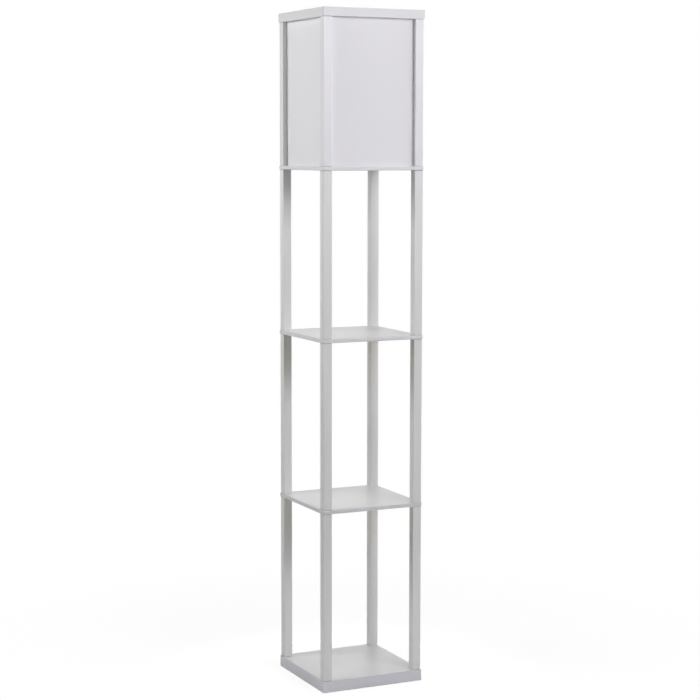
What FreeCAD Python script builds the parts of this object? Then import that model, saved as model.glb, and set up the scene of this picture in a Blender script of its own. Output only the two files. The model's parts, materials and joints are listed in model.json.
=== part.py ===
import FreeCAD, Part
import math
import os

V = FreeCAD.Vector
os.makedirs("parts", exist_ok=True)

# ---------------------------------------------------------------- sizes (mm)
# Frame: +Z up, origin at the centre of the footprint on the floor.
# -Y is the front face, -X is the left face.
BOARD_W = 260.0          # side of the square boards and of the top frame
TOTAL_H = 1600.0

PAD_R = 10.0             # glide pads under the base
PAD_PROUD = 1.0
PAD_SUNK = 2.0
PAD_OFFSET = 92.0

BASE_Z0 = PAD_PROUD
BASE_Z1 = 28.0
SHELF_T = 9.5
SHELF1_Z = 428.5         # underside of the lower shelf
SHELF2_Z = 831.0         # underside of the upper shelf
PLATFORM_Z = 1229.0      # underside of the board that carries the shade
CAP_T = 21.0             # top frame
CAP_RAIL_W = 25.0
CAP_Z = TOTAL_H - CAP_T

POST_S = 21.0            # square posts
POST_INSET = 2.0         # post face behind the board edge
POST_OUT = BOARD_W / 2 - POST_INSET
POST_C = POST_OUT - POST_S / 2
POST_R = 1.1             # rounding of the long arrises
POST_END_R = 1.0         # rounding where a post meets a board

SHELF_CORNER_R = 4.0     # plan corners of the three thin boards
SHELF_ARRIS_R = 2.2      # their softened edges
CORNER_R = 1.6           # plan corners of the base and the top frame
ARRIS_R = 1.0

PANEL_T = 2.0            # shade panels in grooves
PANEL_RECESS = 11.2      # panel face behind the post face
GROOVE_BACK = 0.3        # play behind a panel in its groove
GROOVE_FRONT = 1.2       # shadow gap in front of it
GROOVE_D = 4.5
PANEL_SIDE_GAP = 0.3
CAP_GROOVE_D = 3.0

INSERT_R = 4.5           # threaded sleeve in each post end
INSERT_L = 14.0
STUD_R = 3.0             # M6 studs and bolts
STUD_IN = 12.0
STUD_HOLE_R = 3.3
BOLT_HEAD_R = 5.0
BOLT_HEAD_H = 6.0
WASHER_R = 7.0
WASHER_T = 1.5
CBORE_R = 8.0
CBORE_Z = 12.0           # roof of the counterbore under the base

DOWEL_R = 4.0            # dowels between shade posts and top frame
DOWEL_IN_POST = 16.0
DOWEL_IN_CAP = 12.0

# lampholder on the middle of the platform
PLAT_TOP = PLATFORM_Z + SHELF_T
BRACKET_H = 32.0
BRACKET_T = 1.5
BRACKET_W = 22.0
BRACKET_TOP_L = 40.0
BRACKET_FOOT = 16.0
NIPPLE_R = 5.0
NIPPLE_BORE_R = 4.0
HB = PLAT_TOP + BRACKET_H        # seat of the lampholder
HOLDER_BASE_H = 18.0
HOLDER_BODY_R = 20.5
HOLDER_BODY_H = 40.0
E27_SHELL_R = 13.4               # inner radius of the female screw shell
E27_CAP_R = 13.0                 # crest radius of the bulb's cap
BULB_R = 30.0
BULB_L = 108.0

# outlet of the supply lead, in the back panel
LEAD_R = 2.6
OUTLET_X = 68.0
OUTLET_Z = PLAT_TOP + 8.0


def save(name, shape):
    assert shape.isValid(), name
    shape.exportStep("parts/%s.step" % name)
    print("%-26s solids %d  volume %.1f" % (name, len(shape.Solids), shape.Volume))


def group(shapes):
    return Part.makeCompound(shapes)


def block(x0, x1, y0, y1, z0, z1):
    return Part.makeBox(x1 - x0, y1 - y0, z1 - z0, V(x0, y0, z0))


def cyl(r, z0, z1, x=0.0, y=0.0):
    return Part.makeCylinder(r, z1 - z0, V(x, y, z0))


def ring(r_in, r_out, z0, z1, x=0.0, y=0.0):
    return cyl(r_out, z0, z1, x, y).cut(cyl(r_in, z0 - 1, z1 + 1, x, y))


def hexagon(af, z0, z1, x=0.0, y=0.0):
    r = af / math.sqrt(3)
    pts = [V(x + r * math.cos(math.radians(60 * i)), y + r * math.sin(math.radians(60 * i)), z0) for i in range(7)]
    return Part.Face(Part.makePolygon(pts)).extrude(V(0, 0, z1 - z0))


def revolve(points, x=0.0, y=0.0):
    """Turn a closed polygon of (r, z) points about a vertical axis."""
    pts = [V(r, 0, z) for r, z in points]
    pts.append(pts[0])
    s = Part.Face(Part.makePolygon(pts)).revolve(V(0, 0, 0), V(0, 0, 1), 360)
    s.translate(V(x, y, 0))
    return s


def soften(s, z0, z1, r_up, r_rim):
    """Round a block's upright edges, then its top and bottom outline."""
    up = [e for e in s.Edges if abs(e.Vertexes[0].Z - e.Vertexes[-1].Z) > 1e-6]
    s = s.makeFillet(r_up, up)
    rim = [e for e in s.Edges
           if abs(e.BoundBox.ZMin - e.BoundBox.ZMax) < 1e-6
           and (abs(e.BoundBox.ZMin - z0) < 1e-6 or abs(e.BoundBox.ZMin - z1) < 1e-6)]
    return s.makeFillet(r_rim, rim)


def rounded_board(half, z0, z1, r_up=CORNER_R, r_rim=ARRIS_R):
    return soften(block(-half, half, -half, half, z0, z1), z0, z1, r_up, r_rim)


CORNERS = [("front_left", -1, -1), ("front_right", 1, -1),
           ("back_left", -1, 1), ("back_right", 1, 1)]


def post(sx, sy, z0, z1):
    cx, cy, h = sx * POST_C, sy * POST_C, POST_S / 2
    return soften(block(cx - h, cx + h, cy - h, cy + h, z0, z1), z0, z1, POST_R, POST_END_R)


def bore_post(s, sx, sy, z0, z1, low=True, high=True):
    x, y = sx * POST_C, sy * POST_C
    if low:
        s = s.cut(cyl(INSERT_R, z0 - 1, z0 + INSERT_L + 2, x, y))
    if high:
        s = s.cut(cyl(INSERT_R, z1 - INSERT_L - 2, z1 + 1, x, y))
    return s


def inserts(z0, z1, low=True, high=True):
    out = []
    for _n, sx, sy in CORNERS:
        x, y = sx * POST_C, sy * POST_C
        if low:
            out.append(ring(STUD_R, INSERT_R, z0 + 0.5, z0 + 0.5 + INSERT_L, x, y))
        if high:
            out.append(ring(STUD_R, INSERT_R, z1 - 0.5 - INSERT_L, z1 - 0.5, x, y))
    return group(out)


def shelf(z0):
    s = rounded_board(BOARD_W / 2, z0, z0 + SHELF_T, SHELF_CORNER_R, SHELF_ARRIS_R)
    for _n, sx, sy in CORNERS:
        s = s.cut(cyl(STUD_HOLE_R, z0 - 1, z0 + SHELF_T + 1, sx * POST_C, sy * POST_C))
    return s


def studs(z0):
    return group([cyl(STUD_R, z0 - STUD_IN, z0 + SHELF_T + STUD_IN, sx * POST_C, sy * POST_C)
                  for _n, sx, sy in CORNERS])


# ------------------------------------------------------------------- base
base = rounded_board(BOARD_W / 2, BASE_Z0, BASE_Z1)
pads, bolts, washers = [], [], []
for _n, sx, sy in CORNERS:
    x, y = sx * POST_C, sy * POST_C
    base = base.cut(cyl(STUD_HOLE_R, BASE_Z0 - 1, BASE_Z1 + 1, x, y))
    base = base.cut(cyl(CBORE_R, BASE_Z0 - 1, CBORE_Z, x, y))
    px, py = sx * PAD_OFFSET, sy * PAD_OFFSET
    base = base.cut(cyl(PAD_R, BASE_Z0 - 1, BASE_Z0 + PAD_SUNK, px, py))
    pad = cyl(PAD_R, 0.0, BASE_Z0 + PAD_SUNK, px, py)
    pad = pad.makeFillet(0.4, [e for e in pad.Edges if abs(e.BoundBox.ZMax) < 1e-6])
    pads.append(pad)
    washers.append(ring(STUD_HOLE_R, WASHER_R, CBORE_Z - WASHER_T, CBORE_Z, x, y))
    head_z1 = CBORE_Z - WASHER_T
    bolt = cyl(BOLT_HEAD_R, head_z1 - BOLT_HEAD_H, head_z1, x, y)
    bolt = bolt.fuse(cyl(STUD_R, head_z1 - 0.1, BASE_Z1 + STUD_IN, x, y)).removeSplitter()
    bolt = bolt.cut(hexagon(5.0, head_z1 - BOLT_HEAD_H - 1, head_z1 - BOLT_HEAD_H + 3.0, x, y))
    bolts.append(bolt)
save("base_board", base)
save("foot_pads", group(pads))
save("base_bolts", group(bolts))
save("base_washers", group(washers))

# -------------------------------------------------- three open bays of posts
TIERS = [("lower", BASE_Z1, SHELF1_Z),
         ("middle", SHELF1_Z + SHELF_T, SHELF2_Z),
         ("upper", SHELF2_Z + SHELF_T, PLATFORM_Z)]
for tier, z0, z1 in TIERS:
    for corner, sx, sy in CORNERS:
        save("%s_post_%s" % (tier, corner), bore_post(post(sx, sy, z0, z1), sx, sy, z0, z1))
    save("%s_post_inserts" % tier, inserts(z0, z1))

save("lower_shelf", shelf(SHELF1_Z))
save("lower_shelf_studs", studs(SHELF1_Z))
save("upper_shelf", shelf(SHELF2_Z))
save("upper_shelf_studs", studs(SHELF2_Z))

# --------------------------------------------------------- shade platform
platform = shelf(PLATFORM_Z)
SCREW_X = BRACKET_TOP_L / 2 + BRACKET_FOOT / 2
for s in (-1, 1):
    platform = platform.cut(cyl(1.75, PLAT_TOP - 7.0, PLAT_TOP + 1, s * SCREW_X, 0))
save("shade_platform", platform)
save("platform_studs", studs(PLATFORM_Z))

# ------------------------------------------------------- shade posts, panels
PF = POST_OUT - PANEL_RECESS            # outer face of a panel
PB = PF - PANEL_T                       # inner face
G0, G1 = PB - GROOVE_BACK, PF + GROOVE_FRONT    # walls of the grooves
POST_IN = POST_OUT - POST_S
for corner, sx, sy in CORNERS:
    s = bore_post(post(sx, sy, PLAT_TOP, CAP_Z), sx, sy, PLAT_TOP, CAP_Z, True, False)
    s = s.cut(cyl(DOWEL_R, CAP_Z - DOWEL_IN_POST, CAP_Z + 1, sx * POST_C, sy * POST_C))
    xa, xb = sorted((sx * (POST_IN - 1), sx * (POST_IN + GROOVE_D)))
    ya, yb = sorted((sy * G0, sy * G1))
    s = s.cut(block(xa, xb, ya, yb, PLAT_TOP - 1, CAP_Z + 1))
    xa, xb = sorted((sx * G0, sx * G1))
    ya, yb = sorted((sy * (POST_IN - 1), sy * (POST_IN + GROOVE_D)))
    s = s.cut(block(xa, xb, ya, yb, PLAT_TOP - 1, CAP_Z + 1))
    save("shade_post_%s" % corner, s)
save("shade_post_inserts", inserts(PLAT_TOP, CAP_Z, True, False))

HALF = POST_IN + GROOVE_D - PANEL_SIDE_GAP
PANEL_Z1 = CAP_Z + CAP_GROOVE_D - 0.5
save("shade_panel_front", block(-HALF, HALF, -PF, -PB, PLAT_TOP, PANEL_Z1))
save("shade_panel_left", block(-PF, -PB, -HALF, HALF, PLAT_TOP, PANEL_Z1))
save("shade_panel_right", block(PB, PF, -HALF, HALF, PLAT_TOP, PANEL_Z1))
GROM_R = 5.0
back = block(-HALF, HALF, PB, PF, PLAT_TOP, PANEL_Z1)
back = back.cut(Part.makeCylinder(GROM_R, 20, V(OUTLET_X, PB - 10, OUTLET_Z), V(0, 1, 0)))
save("shade_panel_back", back)


def revolve_y(points, x, z):
    """Turn a closed polygon of (r, y) points about a horizontal axis along Y."""
    pts = [V(x + r, y, z) for r, y in points]
    pts.append(pts[0])
    return Part.Face(Part.makePolygon(pts)).revolve(V(x, 0, z), V(0, 1, 0), 360)


# bush of the lead's outlet: flange inside, waist in the panel, nut outside
bush = revolve_y([(LEAD_R, PB - 3.0), (7.0, PB - 3.0), (7.0, PB), (GROM_R, PB),
                  (GROM_R, PF + 6.0), (LEAD_R, PF + 6.0)], OUTLET_X, OUTLET_Z)
save("outlet_bush", bush)
nut = revolve_y([(GROM_R, PF), (7.4, PF), (7.4, PF + 3.2), (6.8, PF + 4.0), (GROM_R, PF + 4.0)], OUTLET_X, OUTLET_Z)
for i in range(12):
    a = math.radians(30 * i)
    nut = nut.cut(Part.makeCylinder(0.7, 6, V(OUTLET_X + 7.6 * math.cos(a), PF - 1, OUTLET_Z + 7.6 * math.sin(a)), V(0, 1, 0)))
save("outlet_nut", nut)

# ------------------------------------------------------------- top frame
H = BOARD_W / 2
frame = rounded_board(H, CAP_Z, TOTAL_H)
q = H - CAP_RAIL_W
hole = block(-q, q, -q, q, CAP_Z - 1, TOTAL_H + 1)
frame = frame.cut(hole)
inner = [e for e in frame.Edges
         if abs(e.BoundBox.ZMax - TOTAL_H) < 1e-6 and abs(e.BoundBox.ZMin - TOTAL_H) < 1e-6
         and max(abs(e.BoundBox.XMin), abs(e.BoundBox.XMax), abs(e.BoundBox.YMin), abs(e.BoundBox.YMax)) < q + 1e-3]
frame = frame.makeFillet(ARRIS_R, inner)
for _n, sx, sy in CORNERS:
    frame = frame.cut(cyl(DOWEL_R, CAP_Z - 1, CAP_Z + DOWEL_IN_CAP, sx * POST_C, sy * POST_C))
L = HALF + PANEL_SIDE_GAP
for sgn in (-1, 1):
    a, b = sorted((sgn * G0, sgn * G1))
    frame = frame.cut(block(-L, L, a, b, CAP_Z - 1, CAP_Z + CAP_GROOVE_D))
    frame = frame.cut(block(a, b, -L, L, CAP_Z - 1, CAP_Z + CAP_GROOVE_D))


def wedge(angle):
    pts = [V(0, 0, CAP_Z - 1), V(-200, -200, CAP_Z - 1), V(200, -200, CAP_Z - 1), V(0, 0, CAP_Z - 1)]
    w = Part.Face(Part.makePolygon(pts)).extrude(V(0, 0, CAP_T + 2))
    w.rotate(V(0, 0, 0), V(0, 0, 1), angle)
    return w


for name, angle in (("front", 0), ("right", 90), ("back", 180), ("left", 270)):
    save("top_rail_%s" % name, frame.common(wedge(angle)))
save("frame_dowels", group([cyl(DOWEL_R, CAP_Z - DOWEL_IN_POST + 0.5, CAP_Z + DOWEL_IN_CAP - 0.5, sx * POST_C, sy * POST_C)
                            for _n, sx, sy in CORNERS]))

# ------------------------------------------------------------ lampholder
# hat-shaped steel bracket: two feet on the platform, raised bridge
t, w2, lt = BRACKET_T, BRACKET_W / 2, BRACKET_TOP_L / 2
sec = [(-lt - BRACKET_FOOT, PLAT_TOP), (-lt, PLAT_TOP), (-lt, HB - t), (lt, HB - t), (lt, PLAT_TOP),
       (lt + BRACKET_FOOT, PLAT_TOP), (lt + BRACKET_FOOT, PLAT_TOP + t), (lt + t, PLAT_TOP + t), (lt + t, HB),
       (-lt - t, HB), (-lt - t, PLAT_TOP + t), (-lt - BRACKET_FOOT, PLAT_TOP + t)]
pts = [V(x, -w2, z) for x, z in sec]
pts.append(pts[0])
bracket = Part.Face(Part.makePolygon(pts)).extrude(V(0, BRACKET_W, 0))
bends = [e for e in bracket.Edges if abs(e.BoundBox.YMax - e.BoundBox.YMin - BRACKET_W) < 1e-6
         and abs(e.BoundBox.ZMax - HB) < 1e-6]
bracket = bracket.makeFillet(2.4, bends)
bends = [e for e in bracket.Edges if abs(e.BoundBox.YMax - e.BoundBox.YMin - BRACKET_W) < 1e-6
         and abs(e.BoundBox.ZMax - (HB - t)) < 1e-6 and abs(abs(e.BoundBox.XMin) - lt) < 1e-6]
bracket = bracket.makeFillet(0.9, bends)
bracket = bracket.cut(cyl(NIPPLE_R, HB - 5, HB + 5))
for s in (-1, 1):
    bracket = bracket.cut(cyl(2.1, PLAT_TOP - 1, PLAT_TOP + 5, s * SCREW_X, 0))
save("holder_bracket", bracket)

screws = []
for s in (-1, 1):
    x = s * SCREW_X
    z = PLAT_TOP + t
    sc = revolve([(0, z - 0.0), (3.6, z), (3.6, z + 0.9), (2.6, z + 2.1), (0, z + 2.4)])
    sc = sc.fuse(cyl(1.75, PLAT_TOP - 6.5, z + 0.1)).removeSplitter()
    sc = sc.cut(block(-2.4, 2.4, -0.35, 0.35, z + 1.3, z + 4)).cut(block(-0.35, 0.35, -2.4, 2.4, z + 1.3, z + 4))
    sc.translate(V(x, 0, 0))
    screws.append(sc)
save("bracket_screws", group(screws))

save("holder_nipple", ring(NIPPLE_BORE_R, NIPPLE_R, HB - 9.0, HB + 10.0))
nn = hexagon(14.0, HB - t - 4.0, HB - t).cut(cyl(NIPPLE_R, HB - 20, HB + 5))
nn = nn.common(revolve([(0, HB - t - 4.0), (7.4, HB - t - 4.0), (8.2, HB - t - 3.3), (8.2, HB - t), (0, HB - t)]))
save("nipple_nut", nn)

# lower half of the lampholder: cup screwed onto the nipple
zb = HB
hb = revolve([(NIPPLE_R, zb), (14.0, zb), (16.0, zb + 1.0), (19.2, zb + 14.0), (19.2, zb + HOLDER_BASE_H),
              (17.0, zb + HOLDER_BASE_H), (17.0, zb + 14.2), (14.4, zb + 4.0), (8.5, zb + 3.0), (8.5, zb + 11.0),
              (NIPPLE_R, zb + 11.0)])
save("holder_base", hb)
# upper half: ribbed sleeve that closes over the insulator
z0 = zb + HOLDER_BASE_H
z1 = z0 + HOLDER_BODY_H
ro = HOLDER_BODY_R
body = revolve([(17.4, z0), (ro - 0.6, z0), (ro, z0 + 0.8), (ro, z1 - 1.2), (ro - 1.2, z1), (15.0, z1), (15.0, z1 - 1.5),
                (17.4, z1 - 2.5)])
for i in range(24):
    a = math.radians(15 * i)
    body = body.cut(cyl(0.75, z0 + 3.0, z1 - 14.0, (ro + 0.15) * math.cos(a), (ro + 0.15) * math.sin(a)))
save("holder_sleeve", body)
# insulating block with the two contacts
zi = z0
ins = revolve([(0, zi), (17.3, zi), (17.3, zi + 6.0), (14.6, zi + 6.0), (14.6, zi + 7.5), (0, zi + 7.5)])
ins = ins.cut(cyl(1.6, zi - 1, zi + 5.0, 10.5, 0)).cut(cyl(1.6, zi - 1, zi + 5.0, -10.5, 0))
save("holder_insulator", ins)
zs = zi + 7.5
SH_Z1 = z1 - 2.7
shell = revolve([(E27_SHELL_R, zs), (14.2, zs), (14.2, SH_Z1), (E27_SHELL_R, SH_Z1)])
save("screw_shell", shell)
# sprung tongue of the centre contact
tongue = Part.Face(Part.makePolygon([V(-9, -2.5, zs), V(-1, -2.5, zs), V(5.0, -2.5, zs + 3.4), V(4.6, -2.5, zs + 3.9),
                                     V(-1.4, -2.5, zs + 0.6), V(-9, -2.5, zs + 0.6), V(-9, -2.5, zs)])).extrude(V(0, 5, 0))
save("centre_contact", tongue)
save("terminal_screws", group([cyl(1.6, zi - 1.8, zi + 4.5, 10.5, 0), cyl(1.6, zi - 1.8, zi + 4.5, -10.5, 0)]))

# ------------------------------------------------------------------ bulb
BZ = zs + 4.4                                   # tip of the bulb's contact
tip = revolve([(0, BZ), (3.2, BZ), (4.6, BZ + 1.1), (4.6, BZ + 1.8), (0, BZ + 1.8)])
save("bulb_contact", tip)
insul = revolve([(0, BZ + 1.8), (5.2, BZ + 1.8), (9.6, BZ + 4.8), (9.6, BZ + 5.4), (0, BZ + 5.4)])
save("bulb_insulator", insul)
# screw cap with its rounded thread, drawn as rings
cz0 = BZ + 5.4
prof = [(9.0, cz0), (10.8, cz0)]
pitch = 3.629
n = 5
for i in range(n):
    za = cz0 + 0.9 + i * pitch
    for k in range(8):
        u = k / 8.0
        prof.append((12.6 - 0.4 * math.cos(2 * math.pi * u), za + u * pitch))
top = cz0 + 0.9 + n * pitch
prof += [(12.2, top), (13.0, top + 0.8), (13.0, top + 3.0), (12.0, top + 3.0), (11.4, top), (11.4, cz0 + 2.0), (9.0, cz0 + 0.8)]
cap = revolve(prof)
save("bulb_cap", cap)
CAP_TOP = top + 3.0
# frosted envelope, a thin turned wall, open at the neck inside the cap
zt = BZ + BULB_L
zc = zt - BULB_R


def envelope(off):
    """(r, z) outline of the envelope, drawn inwards by off."""
    out = [(12.0 - off, CAP_TOP)]
    neck = [(12.6, CAP_TOP + 3.0), (13.6, CAP_TOP + 8.0), (15.6, CAP_TOP + 14.0), (18.6, CAP_TOP + 20.5)]
    out += [(r - off, z) for r, z in neck]
    a0 = math.radians(-44)
    for k in range(0, 25):
        a = a0 + (math.pi / 2 - a0) * k / 24.0
        r = (BULB_R - off)
        out.append((max(r * math.cos(a), 0.0), zc + r * math.sin(a)))
    return out


outer, innr = envelope(0.0), envelope(0.9)
glass = revolve(outer[:-1] + [(0.0, zt), (0.0, zt - 0.9)] + innr[:-1][::-1])
save("bulb_globe", glass)

# --------------------------------------------- supply lead inside the shade
ROUTE = [V(0, 0, HB + 14.0), V(0, 0, PLAT_TOP + LEAD_R + 0.4), V(20, 37, PLAT_TOP + LEAD_R + 0.4),
         V(58, 64, PLAT_TOP + LEAD_R + 0.4), V(OUTLET_X, 96, OUTLET_Z), V(OUTLET_X, PF + 5.5, OUTLET_Z)]


def tube(route, r):
    edges, last = [], route[0]
    for i in range(1, len(route) - 1):
        a, p, b = route[i - 1], route[i], route[i + 1]
        u, v = (a - p), (b - p)
        shorter = min(u.Length, v.Length)
        u.normalize(); v.normalize()
        turn = math.pi - u.getAngle(v)
        cut = 0.45 * shorter
        rad = cut / math.tan(turn / 2)
        print("lead arc %d radius %.1f turn %.1f" % (i, rad, math.degrees(turn)))
        s0, s1 = p + u * cut, p + v * cut
        m = u + v
        m.normalize()
        centre = p + m * math.sqrt(cut * cut + rad * rad)
        mid = centre - m * rad
        edges.append(Part.LineSegment(last, s0).toShape())
        edges.append(Part.Arc(s0, mid, s1).toShape())
        last = s1
    edges.append(Part.LineSegment(last, route[-1]).toShape())
    wire = Part.Wire(edges)
    d = route[1] - route[0]
    s = wire.makePipeShell([Part.Wire([Part.Circle(route[0], d, r).toShape()])], True, True)
    print("lead length %.1f  volume ratio %.4f" % (wire.Length, s.Volume / (math.pi * r * r * wire.Length)))
    return s


save("inner_lead", tube(ROUTE, LEAD_R))
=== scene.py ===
import json
import math

import bpy
from mathutils import Matrix, Vector


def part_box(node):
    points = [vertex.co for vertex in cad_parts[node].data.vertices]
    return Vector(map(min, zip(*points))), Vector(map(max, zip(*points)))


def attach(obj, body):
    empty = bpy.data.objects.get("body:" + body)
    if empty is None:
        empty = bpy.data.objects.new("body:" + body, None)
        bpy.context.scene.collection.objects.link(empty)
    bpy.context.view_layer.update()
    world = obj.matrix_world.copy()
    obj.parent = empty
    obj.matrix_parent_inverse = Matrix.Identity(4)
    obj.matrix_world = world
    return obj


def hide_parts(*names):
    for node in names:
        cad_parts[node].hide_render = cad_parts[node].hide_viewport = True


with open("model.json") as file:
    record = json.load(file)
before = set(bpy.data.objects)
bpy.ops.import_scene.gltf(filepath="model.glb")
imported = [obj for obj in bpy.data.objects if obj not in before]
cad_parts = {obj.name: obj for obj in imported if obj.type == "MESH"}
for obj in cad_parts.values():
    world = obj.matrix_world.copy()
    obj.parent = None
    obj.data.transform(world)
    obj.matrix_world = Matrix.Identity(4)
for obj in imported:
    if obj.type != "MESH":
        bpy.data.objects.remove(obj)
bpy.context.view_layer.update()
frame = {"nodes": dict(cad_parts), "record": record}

scene = bpy.context.scene
nodes = frame["nodes"]

# ------------------------------------------------------------------ camera
# Perspective view of the front (-Y) and left (-X) faces from shade height.
FOCAL_PX = 1844.72            # in a frame 700 px wide
CAM_AT = Vector((-1.88182, -3.99078, 1.28443))
YAW, PITCH, ROLL = 0.4405, 0.1099, 0.0011

cam_data = bpy.data.cameras.new("view_camera")
cam_data.sensor_width = 36.0
cam_data.lens = FOCAL_PX / 700.0 * 36.0
cam_data.clip_start, cam_data.clip_end = 0.1, 60.0
cam = bpy.data.objects.new("view_camera", cam_data)
scene.collection.objects.link(cam)
scene.camera = cam
ahead = Vector((math.sin(YAW) * math.cos(PITCH), math.cos(YAW) * math.cos(PITCH), -math.sin(PITCH)))
right = Vector((math.cos(YAW), -math.sin(YAW), 0.0))
up = right.cross(ahead)
r2 = right * math.cos(ROLL) + up * math.sin(ROLL)
u2 = -right * math.sin(ROLL) + up * math.cos(ROLL)
m = Matrix((r2, u2, -ahead)).transposed().to_4x4()
m.translation = CAM_AT
cam.matrix_world = m

scene.view_settings.view_transform = "Standard"
scene.view_settings.look = "None"


# --------------------------------------------------------------- materials
class Tree:
    """Small helper around a material's node tree."""

    def __init__(self, name):
        self.mat = bpy.data.materials.new(name)
        self.mat.use_nodes = True
        self.t = self.mat.node_tree
        self.t.nodes.clear()
        self.out = self.t.nodes.new("ShaderNodeOutputMaterial")
        self.bsdf = self.t.nodes.new("ShaderNodeBsdfPrincipled")
        self.link(self.bsdf.outputs[0], self.out.inputs["Surface"])
        self.coord = self.t.nodes.new("ShaderNodeTexCoord")
        self.obj = self.coord.outputs["Object"]

    def link(self, a, b):
        self.t.links.new(a, b)

    def set(self, **kw):
        for k, v in kw.items():
            self.bsdf.inputs[k.replace("_", " ")].default_value = v

    def scaled(self, scale, loc=(0, 0, 0), rot=(0, 0, 0)):
        n = self.t.nodes.new("ShaderNodeMapping")
        n.inputs["Scale"].default_value = scale
        n.inputs["Location"].default_value = loc
        n.inputs["Rotation"].default_value = rot
        self.link(self.obj, n.inputs["Vector"])
        return n.outputs[0]

    def noise(self, vec, scale, detail=4.0, rough=0.55, distort=0.0):
        n = self.t.nodes.new("ShaderNodeTexNoise")
        n.inputs["Scale"].default_value = scale
        n.inputs["Detail"].default_value = detail
        n.inputs["Roughness"].default_value = rough
        n.inputs["Distortion"].default_value = distort
        self.link(vec, n.inputs["Vector"])
        return n.outputs["Fac"]

    def ramp(self, fac, stops):
        n = self.t.nodes.new("ShaderNodeValToRGB")
        e = n.color_ramp.elements
        while len(e) < len(stops):
            e.new(0.5)
        for el, (p, c) in zip(e, stops):
            el.position = p
            el.color = c if len(c) == 4 else (*c, 1.0)
        self.link(fac, n.inputs["Fac"])
        return n.outputs["Color"]

    def mix(self, fac, a, b, mode="MIX"):
        n = self.t.nodes.new("ShaderNodeMix")
        n.data_type = "RGBA"
        n.blend_type = mode
        self._put(fac, n.inputs["Factor"])
        self._put(a, n.inputs["A"] if False else n.inputs[6])
        self._put(b, n.inputs[7])
        return n.outputs[2]

    def math(self, op, a, b=0.0, c=0.0, clamp=False):
        n = self.t.nodes.new("ShaderNodeMath")
        n.operation = op
        n.use_clamp = clamp
        self._put(a, n.inputs[0])
        self._put(b, n.inputs[1])
        if len(n.inputs) > 2:
            self._put(c, n.inputs[2])
        return n.outputs[0]

    def _put(self, v, sock):
        if isinstance(v, bpy.types.NodeSocket):
            self.link(v, sock)
        elif sock.type == "RGBA" and not isinstance(v, (int, float)):
            sock.default_value = v if len(v) == 4 else (*v, 1.0)
        else:
            sock.default_value = v

    def split(self, vec):
        n = self.t.nodes.new("ShaderNodeSeparateXYZ")
        self.link(vec, n.inputs[0])
        return n.outputs

    def geometry(self, name):
        n = self.t.nodes.new("ShaderNodeNewGeometry")
        return n.outputs[name]

    def bump(self, height, strength, distance, normal=None):
        n = self.t.nodes.new("ShaderNodeBump")
        n.inputs["Strength"].default_value = strength
        n.inputs["Distance"].default_value = distance
        self.link(height, n.inputs["Height"])
        if normal is not None:
            self.link(normal, n.inputs["Normal"])
        return n.outputs[0]

    def bevel(self, radius, samples=4):
        n = self.t.nodes.new("ShaderNodeBevel")
        n.samples = samples
        n.inputs["Radius"].default_value = radius
        return n.outputs[0]

    def color(self, sock):
        self.link(sock, self.bsdf.inputs["Base Color"])

    def rough(self, sock):
        self.link(sock, self.bsdf.inputs["Roughness"])

    def normal(self, sock):
        self.link(sock, self.bsdf.inputs["Normal"])


def grey(v, tint=(0.0, 0.0, 0.0)):
    return (v + tint[0], v + tint[1], v + tint[2], 1.0)


def board(name, top=0.82, band=0.79, gloss=0.35, cool=0.0, half=0.130):
    """White melamine-faced board: fine pearl texture on the faces, edge band a touch cooler, with
    the hairline of its glue around the faces. half: half the board's width."""
    T = Tree(name)
    n = T.split(T.geometry("Normal"))
    x = T.split(T.obj)
    rim = T.math("SUBTRACT", half, T.math("MAXIMUM", T.math("ABSOLUTE", x[0]), T.math("ABSOLUTE", x[1])))
    is_face = T.math("GREATER_THAN", T.math("ABSOLUTE", n[2]), 0.75)
    cloud = T.noise(T.scaled((1, 1, 1)), 9.0, 3.0, 0.6)
    fine = T.noise(T.scaled((1, 1, 1), loc=(3.1, 1.7, 0.4)), 900.0, 2.0, 0.6)
    face = T.ramp(cloud, [(0.3, grey(top - 0.012, (0, 0, 0.0))), (0.7, grey(top + 0.010, (0, 0, 0.001)))])
    along = T.noise(T.scaled((14, 14, 1.0)), 22.0, 3.0, 0.6)
    edge = T.ramp(along, [(0.3, grey(band - 0.020, (0.003, -0.003, 0.026 + cool))), (0.7, grey(band + 0.006, (0.003, -0.003, 0.032 + cool)))])
    glue = T.ramp(T.math("ABSOLUTE", T.math("SUBTRACT", T.math("DIVIDE", rim, 0.001), 1.6)), [(0.12, grey(0.55)), (0.26, grey(1.0))])
    T.color(T.mix(is_face, edge, T.mix(1.0, face, glue, "MULTIPLY")))
    smear = T.noise(T.scaled((1, 1, 1), loc=(0.7, 0.2, 0.9)), 16.0, 4.0, 0.6, 0.4)
    r_face = T.ramp(smear, [(0.25, grey(gloss - 0.035)), (0.75, grey(gloss + 0.05))])
    T.rough(T.mix(is_face, grey(0.42), r_face))
    T.normal(T.bump(fine, 0.05, 0.0001))
    T.set(IOR=1.50)
    return T.mat


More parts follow.
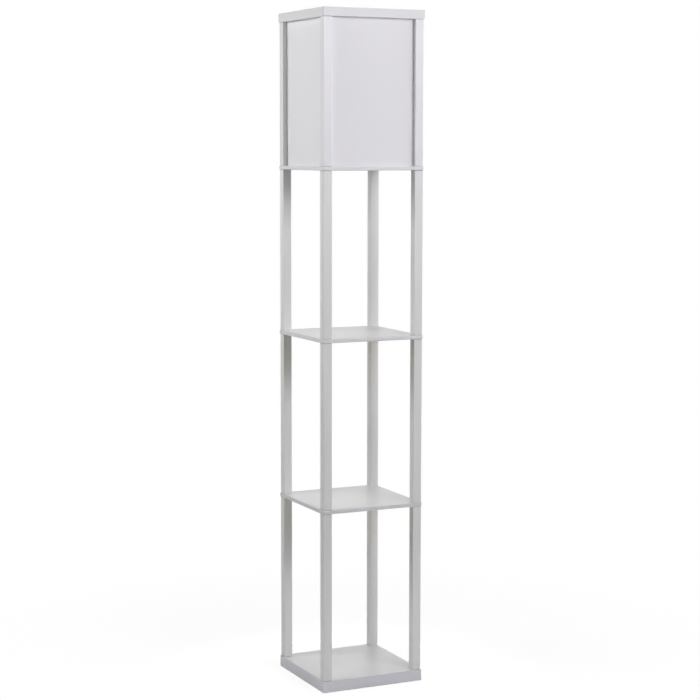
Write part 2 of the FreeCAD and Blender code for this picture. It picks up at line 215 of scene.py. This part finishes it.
def lacquer(name, value=0.80, seed=0.0, tint=(0.0, 0.0, 0.0), gloss=(0.32, 0.42), mitred=False, span=None, ends=(0.5, 0.3),
            inner=None, grooved=None, grain=2, head_shade=None, shade_across=None):
    """Sprayed white lacquer on square timber: the grain telegraphs as faint streaks along it.
    grain: the axis it runs on; head_shade: colour factor of painted shade at a post's upper end on its inner
    faces, under the board above; shade_across: (axis, from, to) of painted shade on an inner face, darker towards its
    inner corner.
    span: (lowest, highest) z of a post; ends: how grey the painted shade lines are at its rounded ends, where it meets
    the boards;
    inner: colour factor of painted shade on the faces turned to the middle; grooved: (lowest, highest) z of its panel
    grooves, painted dark as shade."""
    T = Tree(name)
    x = T.split(T.obj)
    n = T.split(T.geometry("Normal"))

    def along(k):
        return tuple(k if i == grain else 1.0 for i in range(3))

    g = T.scaled(along(0.022), loc=(seed, seed * 0.7, seed * 0.3))
    streak = T.noise(g, 420.0, 3.0, 0.55)
    wide = T.noise(T.scaled(along(0.05), loc=(seed + 2.0, 0.3, 0.0)), 90.0, 2.0, 0.5)
    patch = T.noise(T.scaled(along(0.35), loc=(0.0, seed, 0.0)), 11.0, 3.0, 0.6)
    c = T.ramp(streak, [(0.30, grey(value - 0.022, tint)), (0.70, grey(value + 0.014, tint))])
    c = T.mix(0.35, c, T.ramp(wide, [(0.3, grey(value - 0.030, tint)), (0.7, grey(value + 0.020, tint))]))
    c = T.mix(0.30, c, T.ramp(patch, [(0.3, grey(value - 0.025, (tint[0], tint[1], tint[2] - 0.006))), (0.7, grey(value + 0.015, tint))]))
    peel = T.noise(T.scaled((1, 1, 1), loc=(seed, 0, 0)), 520.0, 2.0, 0.5)
    normal = T.bump(streak, 0.16, 0.0003, T.bump(peel, 0.08, 0.0002))
    # painted shade: the faces turned to the middle are darkened and tinted by the inner factor
    if inner:
        inward = T.math("LESS_THAN", T.math("ADD", T.math("MULTIPLY", x[0], n[0]), T.math("MULTIPLY", x[1], n[1])), 0.0)
        c = T.mix(inward, c, T.mix(1.0, c, inner, "MULTIPLY"))
    if span:
        foot, head = T.math("SUBTRACT", x[2], span[0]), T.math("SUBTRACT", span[1], x[2])
        if inner and not grooved:
            # painted light on the inner faces near the post's lower end, lightened as if by light bounced up from the
            # board below
            foot_light = T.math("MULTIPLY", inward, T.ramp(T.math("DIVIDE", foot, 0.12), [(0.0, grey(1.0)), (1.0, grey(0.0))]))
            c = T.mix(foot_light, c, T.mix(1.0, c, (1.07, 1.07, 1.07), "MULTIPLY"))
            # painted shade, tinted yellow, on the inner faces at the post's upper end under the board above
            if head_shade:
                shade_at_head = T.math("MULTIPLY", inward, T.ramp(T.math("DIVIDE", head, 0.15), [(0.25, grey(1.0)), (1.0, grey(0.0))]))
                c = T.mix(shade_at_head, c, T.mix(1.0, c, head_shade, "MULTIPLY"))
            # painted shade on one inner face, darker towards the inner corner of the post
            if shade_across:
                coat = T.ramp(T.math("DIVIDE", T.math("SUBTRACT", T.math("ABSOLUTE", x[shade_across[0]]), shade_across[1]), shade_across[2] - shade_across[1]),
                              [(0.0, grey(0.91)), (1.0, grey(1.07))])
                side = T.math("MULTIPLY", inward, T.math("GREATER_THAN", T.math("ABSOLUTE", n[1 - shade_across[0]]), 0.7))
                c = T.mix(side, c, T.mix(1.0, c, coat, "MULTIPLY"))
        # painted shade lines at both ends of the post, where it meets the boards; less dark on the inner faces
        thin = grey(ends[0]) if grooved else T.mix(inward, grey(ends[0]), grey(max(ends[0], 0.72)))
        c = T.mix(T.ramp(T.math("DIVIDE", foot, 0.002), [(0.32, grey(0.0)), (0.56, grey(1.0))]), thin, c)
        c = T.mix(T.ramp(T.math("DIVIDE", head, 0.002), [(0.32, grey(0.0)), (0.56, grey(1.0))]), grey(ends[1]), c)
    if grooved:
        # the panel grooves are painted dark as shade
        a, b = T.math("ABSOLUTE", x[0]), T.math("ABSOLUTE", x[1])
        in_a = T.math("MULTIPLY", T.math("GREATER_THAN", a, 0.1144), T.math("LESS_THAN", a, 0.11805))
        in_b = T.math("MULTIPLY", T.math("GREATER_THAN", b, 0.1144), T.math("LESS_THAN", b, 0.11805))
        groove_shade = T.math("MAXIMUM", in_a, in_b)
        groove_shade = T.math("MULTIPLY", groove_shade, T.math("MULTIPLY", T.math("GREATER_THAN", x[2], grooved[0]), T.math("LESS_THAN", x[2], grooved[1])))
        groove_shade = T.math("MULTIPLY", groove_shade, T.math("MULTIPLY", T.math("LESS_THAN", a, 0.1275), T.math("LESS_THAN", b, 0.1275)))
        c = T.mix(groove_shade, c, (0.24, 0.22, 0.20))
    if mitred:
        # hairline where the lacquer has parted over the mitres
        off = T.math("ABSOLUTE", T.math("SUBTRACT", T.math("ABSOLUTE", x[0]), T.math("ABSOLUTE", x[1])))
        line = T.ramp(T.math("DIVIDE", off, 0.001), [(0.12, grey(0.0)), (0.45, grey(1.0))])
        c = T.mix(line, grey(value - 0.30, tint), c)
        normal = T.bump(line, 0.5, 0.0003, normal)
    T.color(c)
    T.rough(T.ramp(patch, [(0.3, grey(gloss[0])), (0.7, grey(gloss[1]))]))
    T.normal(normal)
    T.set(IOR=1.50)
    return T.mat


def shade_film(name):
    """Matt white shade laminate: fine woven face, slightly translucent."""
    T = Tree(name)
    cloud = T.noise(T.scaled((1, 1, 1)), 7.0, 3.0, 0.55)
    x = T.split(T.obj)
    n = T.split(T.geometry("Normal"))
    outside = T.math("GREATER_THAN", T.math("ADD", T.math("MULTIPLY", x[0], n[0]), T.math("MULTIPLY", x[1], n[1])), 0.0)
    T.color(T.mix(outside, T.ramp(cloud, [(0.3, (0.862, 0.858, 0.846)), (0.7, (0.878, 0.874, 0.864))]),
                  T.ramp(cloud, [(0.3, (0.864, 0.858, 0.891)), (0.7, (0.878, 0.872, 0.906))])))
    run = T.math("ADD", x[0], x[1])
    wa = T.math("SINE", T.math("MULTIPLY", run, 2 * math.pi / 0.0009))
    wb = T.math("SINE", T.math("MULTIPLY", x[2], 2 * math.pi / 0.0009))
    weave = T.math("MULTIPLY", wa, wb)
    slub = T.noise(T.scaled((1, 1, 0.12)), 500.0, 2.0, 0.5)
    h = T.math("ADD", T.math("MULTIPLY", weave, 0.5), T.math("MULTIPLY", slub, 1.2))
    T.normal(T.bump(h, 0.18, 0.0002))
    T.rough(T.ramp(slub, [(0.3, grey(0.72)), (0.7, grey(0.84))]))
    T.set(IOR=1.45, Transmission_Weight=0.0, Subsurface_Weight=0.12, Subsurface_Scale=0.004, Subsurface_Radius=(1.0, 1.0, 1.0))
    return T.mat


def metal(name, color, rough=0.28, streak=(1, 1, 1), scale=240.0, spots=0.08):
    T = Tree(name)
    n1 = T.noise(T.scaled(streak), scale, 3.0, 0.6)
    n2 = T.noise(T.scaled((1, 1, 1), loc=(1, 2, 3)), 60.0, 4.0, 0.65)
    hi = tuple(min(1.0, c * (1 + spots)) for c in color)
    lo = tuple(c * (1 - spots) for c in color)
    T.color(T.mix(0.5, T.ramp(n1, [(0.3, lo), (0.7, hi)]), T.ramp(n2, [(0.3, lo), (0.7, hi)])))
    T.rough(T.ramp(n1, [(0.3, grey(rough - 0.03)), (0.7, grey(rough + 0.06))]))
    T.normal(T.bump(n1, 0.10, 0.0002))
    T.set(Metallic=1.0)
    return T.mat


def plastic(name, color, rough=0.35, scale=600.0, strength=0.12, var=0.02, spec_ior=1.48, coat=0.0):
    T = Tree(name)
    n1 = T.noise(T.scaled((1, 1, 1)), scale, 3.0, 0.6)
    n2 = T.noise(T.scaled((1, 1, 1), loc=(5, 1, 2)), 35.0, 3.0, 0.6)
    hi = tuple(min(1.0, c + var) for c in color)
    lo = tuple(max(0.0, c - var) for c in color)
    T.color(T.ramp(n2, [(0.3, lo), (0.7, hi)]))
    T.rough(T.ramp(n2, [(0.3, grey(max(0.05, rough - 0.05))), (0.7, grey(rough + 0.06))]))
    T.normal(T.bump(n1, strength, 0.0002))
    T.set(IOR=spec_ior, Coat_Weight=coat)
    return T.mat


def felt(name):
    T = Tree(name)
    n1 = T.noise(T.scaled((1, 1, 1)), 1400.0, 5.0, 0.7, 0.6)
    n2 = T.noise(T.scaled((1, 1, 1)), 180.0, 3.0, 0.6)
    T.color(T.mix(0.4, T.ramp(n1, [(0.3, (0.50, 0.49, 0.47)), (0.7, (0.68, 0.67, 0.65))]),
                  T.ramp(n2, [(0.3, (0.52, 0.51, 0.49)), (0.7, (0.66, 0.65, 0.63))])))
    T.normal(T.bump(n1, 0.8, 0.0006))
    T.set(Roughness=0.95, Sheen_Weight=0.4, Sheen_Roughness=0.5)
    return T.mat


def beech(name):
    T = Tree(name)
    g = T.noise(T.scaled((1, 1, 0.06)), 260.0, 5.0, 0.6, 0.3)
    f = T.noise(T.scaled((1, 1, 0.15)), 900.0, 2.0, 0.6)
    T.color(T.mix(0.35, T.ramp(g, [(0.3, (0.50, 0.32, 0.17)), (0.7, (0.66, 0.46, 0.27))]),
                  T.ramp(f, [(0.35, (0.40, 0.25, 0.13)), (0.6, (0.66, 0.47, 0.28))])))
    T.rough(T.ramp(g, [(0.3, grey(0.5)), (0.7, grey(0.65))]))
    T.normal(T.bump(f, 0.3, 0.0003))
    return T.mat


def frosted(name):
    """Inside-frosted lamp glass: a milky skin with a little gloss."""
    T = Tree(name)
    n1 = T.noise(T.scaled((1, 1, 1)), 30.0, 3.0, 0.5)
    n2 = T.noise(T.scaled((1, 1, 1)), 1500.0, 2.0, 0.5)
    T.color(T.ramp(n1, [(0.3, (0.88, 0.88, 0.87)), (0.7, (0.92, 0.92, 0.91))]))
    T.rough(T.ramp(n2, [(0.3, grey(0.14)), (0.7, grey(0.22))]))
    T.set(IOR=1.50, Subsurface_Weight=0.5, Subsurface_Scale=0.006, Subsurface_Radius=(1.0, 1.0, 1.0))
    return T.mat


WHITE_BOARD = board("melamine_board")
# the base board and the lower shelf are darker copies of the board, as painted shade
BASE_BOARD = board("melamine_base", top=0.805, band=0.75, gloss=0.36, cool=0.014)
LOWER_BOARD = board("melamine_lower", top=0.81, band=0.745, gloss=0.355)
COOL = (0.003, -0.003, 0.026)
CAP_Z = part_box("top_rail_front")[0][2]
# the front and back rails are painted darker and the side rails lighter, as painted shade and painted light; their
# panel grooves are painted dark as shade
RAIL_X = lacquer("lacquer_rails_x", 0.730, 7.3, COOL, mitred=True, grooved=(CAP_Z + 0.0001, CAP_Z + 0.0032), grain=0)
RAIL_Y = lacquer("lacquer_rails_y", 0.776, 4.1, COOL, mitred=True, grooved=(CAP_Z + 0.0001, CAP_Z + 0.0032), grain=1)
FILM = shade_film("shade_laminate")
ZINC = metal("zinc_plate", (0.56, 0.58, 0.60), 0.34)
BRASS = metal("pressed_brass", (0.72, 0.52, 0.22), 0.32, (1, 1, 0.2), 400.0)
CAP_METAL = metal("lamp_cap_alloy", (0.66, 0.67, 0.69), 0.32, (1, 1, 6.0), 300.0)
SOLDER = metal("tin_solder", (0.52, 0.52, 0.51), 0.38, (1, 1, 1), 500.0, 0.14)
BRACKET = plastic("powder_coat", (0.72, 0.72, 0.71), 0.45, 380.0, 0.30, 0.015)
HOLDER = plastic("holder_moulding", (0.80, 0.80, 0.78), 0.34, 700.0, 0.05, 0.012, 1.52, 0.15)
PORCELAIN = plastic("porcelain", (0.78, 0.76, 0.72), 0.40, 900.0, 0.16, 0.02)
VITRITE = plastic("black_vitrite", (0.035, 0.035, 0.04), 0.12, 500.0, 0.06, 0.012, 1.52, 0.3)
JACKET = plastic("lead_jacket", (0.76, 0.76, 0.75), 0.50, 800.0, 0.10, 0.015)
BUSH = plastic("nylon_bush", (0.74, 0.74, 0.72), 0.46, 620.0, 0.14, 0.02)
FELT = felt("pressed_felt")
BEECH = beech("beech")
GLASS = frosted("frosted_glass")

LOOKS = {
    "board_laminate": WHITE_BOARD, "frame_lacquer": RAIL_X, "shade_film": FILM, "zinc_steel": ZINC,
    "felt": FELT, "beech": BEECH, "bracket_paint": BRACKET, "holder_plastic": HOLDER,
    "porcelain": PORCELAIN, "brass": BRASS, "solder": SOLDER, "black_glass": VITRITE,
    "cap_metal": CAP_METAL, "frosted_glass": GLASS, "lead_jacket": JACKET, "bush_plastic": BUSH,
}
slot_of = {s["node"]: s["material_slot"] for s in frame["record"]["subparts"]}


def dress(obj, mat):
    obj.data.materials.clear()
    obj.data.materials.append(mat)


for i, name in enumerate(sorted(nodes)):
    obj = nodes[name]
    if slot_of[name] == "post_lacquer":
        low, high = (corner[2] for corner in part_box(name))
        if name.startswith("shade"):
            # painted shade on the shade posts: lines at their ends, on their faces turned to the middle and in their
            # panel grooves
            ends = {"shade_post_front_left": (0.52, 0.45), "shade_post_front_right": (0.72, 0.35),
                    "shade_post_back_left": (0.68, 0.35)}.get(name, (0.50, 0.35))
            dress(obj, lacquer("lacquer_" + name, 0.815, 1.37 * i, COOL, (0.29, 0.34), span=(low, high), ends=ends,
                               inner=(0.942, 0.932, 0.894), grooved=(low, high)))
        else:
            # painted shade lines at the post ends, darker where the shade at the joint is deeper
            ends = {"upper_post_front_right": (0.50, 0.12), "middle_post_front_right": (0.70, 0.30),
                    "lower_post_front_left": (0.10, 0.42), "lower_post_front_right": (0.38, 0.48),
                    "lower_post_back_left": (0.12, 0.30)}.get(name, (0.50, 0.30))
            # painted light and shade over a whole post: upper_post_back_left and middle_post_back_left lighter with
            # darker inner faces, lower_post_front_left darker;
            # painted shade, tinted yellow, under the boards and, on the back right post, painted shade towards the
            # inner corner
            coat, inside = {"lower_post_front_left": (0.778, 1.0), "upper_post_back_left": (0.86, 0.928),
                            "middle_post_back_left": (0.822, 0.972)}.get(name, (0.80, 1.0))
            tint = (0.002, -0.001, 0.012) if name == "upper_post_front_right" else (0.001, 0.0, -0.004)
            shade_at_head = {"upper_post_back_left": (0.92, 0.92, 0.92)}.get(name) if name.startswith("upper") else (1.0, 0.982, 0.915)
            dress(obj, lacquer("lacquer_" + name, coat, 1.37 * i, tint, span=(low, high), ends=ends,
                               inner=(inside, inside * 0.998, inside * 0.990), head_shade=shade_at_head,
                               shade_across=(0, 0.107, 0.128) if name.endswith("back_right") else None))
    elif name in ("top_rail_left", "top_rail_right"):
        dress(obj, RAIL_Y)
    elif name in ("base_board", "lower_shelf"):
        dress(obj, BASE_BOARD if name == "base_board" else LOWER_BOARD)
    else:
        dress(obj, LOOKS[slot_of[name]])

# --------------------------------------------------------- the bulb's thread
# a true rounded screw thread, running out at both ends, in place of the plain rings
lo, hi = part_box("bulb_cap")
z0, z1 = lo[2], hi[2]
PITCH, ROOT, CREST, WALL_R = 0.003629, 0.0122, 0.0130, 0.0114
t0, t1 = z0 + 0.0009, z1 - 0.0030


def thread_r(z, turn):
    u = (z - t0) / PITCH
    ends = max(0.0, min(1.0, (z - t0) / 0.0022)) * max(0.0, min(1.0, (t1 - z) / 0.0016))
    ends = ends * ends * (3 - 2 * ends)
    return ROOT + (CREST - ROOT) * ends * (0.5 - 0.5 * math.cos(2 * math.pi * u - turn))


SEG, STEPS = 120, 96
rings = [[(0.0090, z0)] * SEG, [(0.0106, z0)] * SEG, [(0.0110, z0 + 0.0002)] * SEG]
for k in range(STEPS + 1):
    z = t0 + (t1 - t0) * k / STEPS
    rings.append([(thread_r(z, 2 * math.pi * s / SEG), z) for s in range(SEG)])
for r, z in ((0.0126, t1 + 0.0005), (0.0129, t1 + 0.0008), (0.0130, t1 + 0.0011), (0.0130, t1 + 0.0027),
             (0.0128, z1), (0.0120, z1), (WALL_R, t1), (WALL_R, z0 + 0.0020), (0.0090, z0 + 0.0008)):
    rings.append([(r, z)] * SEG)
cap_verts = [(r * math.cos(2 * math.pi * s / SEG), r * math.sin(2 * math.pi * s / SEG), z)
             for ring in rings for s, (r, z) in enumerate(ring)]
cap_faces = [(a * SEG + s, a * SEG + (s + 1) % SEG, ((a + 1) % len(rings)) * SEG + (s + 1) % SEG,
              ((a + 1) % len(rings)) * SEG + s) for a in range(len(rings)) for s in range(SEG)]
cap_mesh = bpy.data.meshes.new("bulb_thread")
cap_mesh.from_pydata(cap_verts, [], cap_faces)
cap_mesh.validate()
cap_mesh.shade_smooth()
bulb_thread = bpy.data.objects.new("bulb_thread", cap_mesh)
scene.collection.objects.link(bulb_thread)
dress(bulb_thread, CAP_METAL)
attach(bulb_thread, "bulb")
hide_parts("bulb_cap")

# the bulb's envelope, blown in one smooth curve from the neck into the globe
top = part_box("bulb_globe")[1][2]
GLOBE_R = 0.030
neck_z, globe_z = z1, top - GLOBE_R


def hermite(p0, m0, p1, m1, n):
    out = []
    for k in range(n):
        t = k / n
        a, b = 2 * t ** 3 - 3 * t ** 2 + 1, t ** 3 - 2 * t ** 2 + t
        c, e = 3 * t ** 2 - 2 * t ** 3, t ** 3 - t ** 2
        out.append(tuple(a * p0[j] + b * m0[j] + c * p1[j] + e * m1[j] for j in (0, 1)))
    return out


A0 = math.radians(-38)
START = (GLOBE_R * math.cos(A0), globe_z + GLOBE_R * math.sin(A0))
reach = START[1] - neck_z
line = hermite((0.0120, neck_z), (0.0, reach * 0.9), START, (-math.sin(A0) * reach * 1.1, math.cos(A0) * reach * 1.1), 40)
line += [(GLOBE_R * math.cos(A0 + (math.pi / 2 - A0) * k / 72), globe_z + GLOBE_R * math.sin(A0 + (math.pi / 2 - A0) * k / 72))
         for k in range(72)]
SKIN = 0.0009
inner = [(r - SKIN * (0.3 + 0.7 * min(1.0, r / 0.004)) if r > 0.002 else r * 0.97, z - SKIN * max(0.0, (z - globe_z) / GLOBE_R))
         for r, z in line]
loops = line + [(0.0, top)] + [(0.0, top - SKIN)] + inner[::-1]
glass_verts, rows = [], []
for r, z in loops:
    if r == 0.0:
        rows.append([len(glass_verts)])
        glass_verts.append((0.0, 0.0, z))
    else:
        rows.append(list(range(len(glass_verts), len(glass_verts) + SEG)))
        glass_verts += [(r * math.cos(2 * math.pi * s / SEG), r * math.sin(2 * math.pi * s / SEG), z) for s in range(SEG)]
glass_faces = []
for a, b in zip(rows, rows[1:] + rows[:1]):
    for s in range(SEG):
        t = (s + 1) % SEG
        if len(a) == 1 and len(b) == 1:
            continue
        if len(a) == 1:
            glass_faces.append((a[0], b[t], b[s]))
        elif len(b) == 1:
            glass_faces.append((a[s], a[t], b[0]))
        else:
            glass_faces.append((a[s], a[t], b[t], b[s]))
glass_mesh = bpy.data.meshes.new("bulb_envelope")
glass_mesh.from_pydata(glass_verts, [], glass_faces)
glass_mesh.validate()
glass_mesh.shade_smooth()
bulb_envelope = bpy.data.objects.new("bulb_envelope", glass_mesh)
scene.collection.objects.link(bulb_envelope)
dress(bulb_envelope, GLASS)
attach(bulb_envelope, "bulb")
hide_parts("bulb_globe")

# ------------------------------------------------------------ floor, light
floor_mesh = bpy.data.meshes.new("floor")
N, R = 96, 7.0
verts = [(0, 0, 0)] + [(R * math.cos(2 * math.pi * k / N), R * math.sin(2 * math.pi * k / N), 0) for k in range(N)]
faces = [(0, k + 1, (k + 1) % N + 1) for k in range(N)]
floor_mesh.from_pydata(verts, [], faces)
floor = bpy.data.objects.new("floor", floor_mesh)
scene.collection.objects.link(floor)
F = Tree("pale_floor")
F.color(F.ramp(F.noise(F.scaled((1, 1, 1)), 3.0, 3.0, 0.5), [(0.3, grey(0.93)), (0.7, grey(0.95))]))
F.set(Roughness=0.9)
clear = F.t.nodes.new("ShaderNodeBsdfTransparent")
blend = F.t.nodes.new("ShaderNodeMixShader")
p = F.split(F.obj)
dist = F.math("SQRT", F.math("ADD", F.math("MULTIPLY", p[0], p[0]), F.math("MULTIPLY", p[1], p[1])))
ramp = F.ramp(F.math("DIVIDE", dist, 6.0), [(0.10, (0, 0, 0)), (0.60, (1, 1, 1))])
near = F.ramp(F.math("DIVIDE", dist, 2.0), [(0.08, (0.70, 0.70, 0.70)), (0.60, (1, 1, 1))])
ray = F.t.nodes.new("ShaderNodeLightPath")
# under the base it lets light through, and from below it isn't seen
under = F.math("LESS_THAN", F.math("MAXIMUM", F.math("ABSOLUTE", p[0]), F.math("ABSOLUTE", p[1])), 0.1315)
thin = F.mix(ray.outputs["Is Camera Ray"], F.math("MAXIMUM", ramp, under), near)
thin = F.math("MAXIMUM", thin, F.geometry("Backfacing"))
F.link(thin, blend.inputs[0])
F.link(F.bsdf.outputs[0], blend.inputs[1])
F.link(clear.outputs[0], blend.inputs[2])
# what the camera sees of it is lifted to nearly white, so that only the contact shadow shows
lift = F.t.nodes.new("ShaderNodeEmission")
F.link(F.math("MULTIPLY", F.math("SUBTRACT", 1.0, thin), F.math("MULTIPLY", ray.outputs["Is Camera Ray"], 0.40)), lift.inputs["Strength"])
both = F.t.nodes.new("ShaderNodeAddShader")
F.link(blend.outputs[0], both.inputs[0])
F.link(lift.outputs[0], both.inputs[1])
F.link(both.outputs[0], F.out.inputs["Surface"])
floor.data.materials.append(F.mat)

world = bpy.data.worlds.new("studio")
scene.world = world
world.use_nodes = True
w = world.node_tree
w.nodes.clear()
wo = w.nodes.new("ShaderNodeOutputWorld")
seen = w.nodes.new("ShaderNodeBackground")
seen.inputs["Color"].default_value = (1, 1, 1, 1)
seen.inputs["Strength"].default_value = 1.0
lit = w.nodes.new("ShaderNodeBackground")
lit.inputs["Color"].default_value = (1.0, 1.0, 1.0, 1)
way = w.nodes.new("ShaderNodeTexCoord")
way_xyz = w.nodes.new("ShaderNodeSeparateXYZ")
w.links.new(way.outputs["Generated"], way_xyz.inputs[0])


def wmath(op, a, b=0.0, clamp=False):
    n = w.nodes.new("ShaderNodeMath")
    n.operation = op
    n.use_clamp = clamp
    for k, v in enumerate((a, b)):
        if isinstance(v, bpy.types.NodeSocket):
            w.links.new(v, n.inputs[k])
        else:
            n.inputs[k].default_value = v
    return n.outputs[0]


# a lit white wall behind the object
wx, wy, wz = way_xyz.outputs
WALL = math.radians(155)
flat = wmath("SQRT", wmath("ADD", wmath("MULTIPLY", wx, wx), wmath("ADD", wmath("MULTIPLY", wy, wy), 1e-6)))
facing = wmath("DIVIDE", wmath("ADD", wmath("MULTIPLY", wx, math.sin(WALL)), wmath("MULTIPLY", wy, -math.cos(WALL))), flat)
wall = wmath("MULTIPLY", wmath("DIVIDE", wmath("SUBTRACT", facing, 0.5), 0.3, True),
             wmath("SUBTRACT", 1.0, wmath("DIVIDE", wmath("SUBTRACT", wz, 0.45), 0.3, True)))
w.links.new(wmath("MULTIPLY", wall, 1.10), lit.inputs["Strength"])
path = w.nodes.new("ShaderNodeLightPath")
pick = w.nodes.new("ShaderNodeMixShader")
w.links.new(path.outputs["Is Camera Ray"], pick.inputs[0])
w.links.new(lit.outputs[0], pick.inputs[1])
w.links.new(seen.outputs[0], pick.inputs[2])
w.links.new(pick.outputs[0], wo.inputs[0])


def area(name, at, to, size, watts, color=(1, 1, 1)):
    d = bpy.data.lights.new(name, "AREA")
    d.shape = "RECTANGLE"
    d.size, d.size_y = size
    d.energy = watts
    d.color = color
    o = bpy.data.objects.new(name, d)
    scene.collection.objects.link(o)
    o.visible_camera = False
    o.location = at
    o.rotation_mode = "QUATERNION"
    o.rotation_quaternion = (Vector(to) - Vector(at)).to_track_quat("-Z", "Y")
    return o


def softbox(name, azimuth, distance, height, size, watts, aim=1.3, color=(1, 1, 1)):
    a = math.radians(azimuth)
    return area(name, (math.sin(a) * distance, -math.cos(a) * distance, height), (0, 0, aim), size, watts, color)


# two large softboxes at shade height, front right and left, each built from cells so that its
# brightness varies over its face, and a dimmer one at the far right
SOFTBOX_WHITE = (1.0, 0.99, 1.01)
for azimuth, height, watts in ((5, 1.6, 10.2), (5, 2.0, 0.5), (20, 1.2, 2.1), (20, 2.0, 16.9), (65, 1.6, 6.3), (65, 2.0, 3.4)):
    softbox("right_%d_%d" % (azimuth, height * 10), azimuth, 2.1, height, (1.1, 0.8), watts, color=SOFTBOX_WHITE)
for azimuth, height, watts in ((-72, 1.6, 1.4), (-72, 2.0, 1.3), (-87, 2.0, 6.0), (-102, 1.2, 1.4), (-102, 1.6, 4.6),
                               (-102, 2.0, 5.8), (-132, 1.2, 1.9), (-132, 2.0, 1.1)):
    softbox("left_%d_%d" % (-azimuth, height * 10), azimuth, 1.8, height, (0.46, 0.4), watts, color=(1.0, 1.0, 0.99))
softbox("overhead", 0, 1.2, 3.0, (1.2, 1.2), 0.8, aim=1.0)

# a small lamp straight above, for the open top and the inside of the shade
d = bpy.data.lights.new("top_lamp", "SPOT")
d.energy = 85.0
d.spot_size = math.radians(15.0)
d.spot_blend = 0.1
d.shadow_soft_size = 0.12
top_lamp = bpy.data.objects.new("top_lamp", d)
scene.collection.objects.link(top_lamp)
top_lamp.visible_camera = False
top_lamp.location = (0.0, 0.0, 3.2)
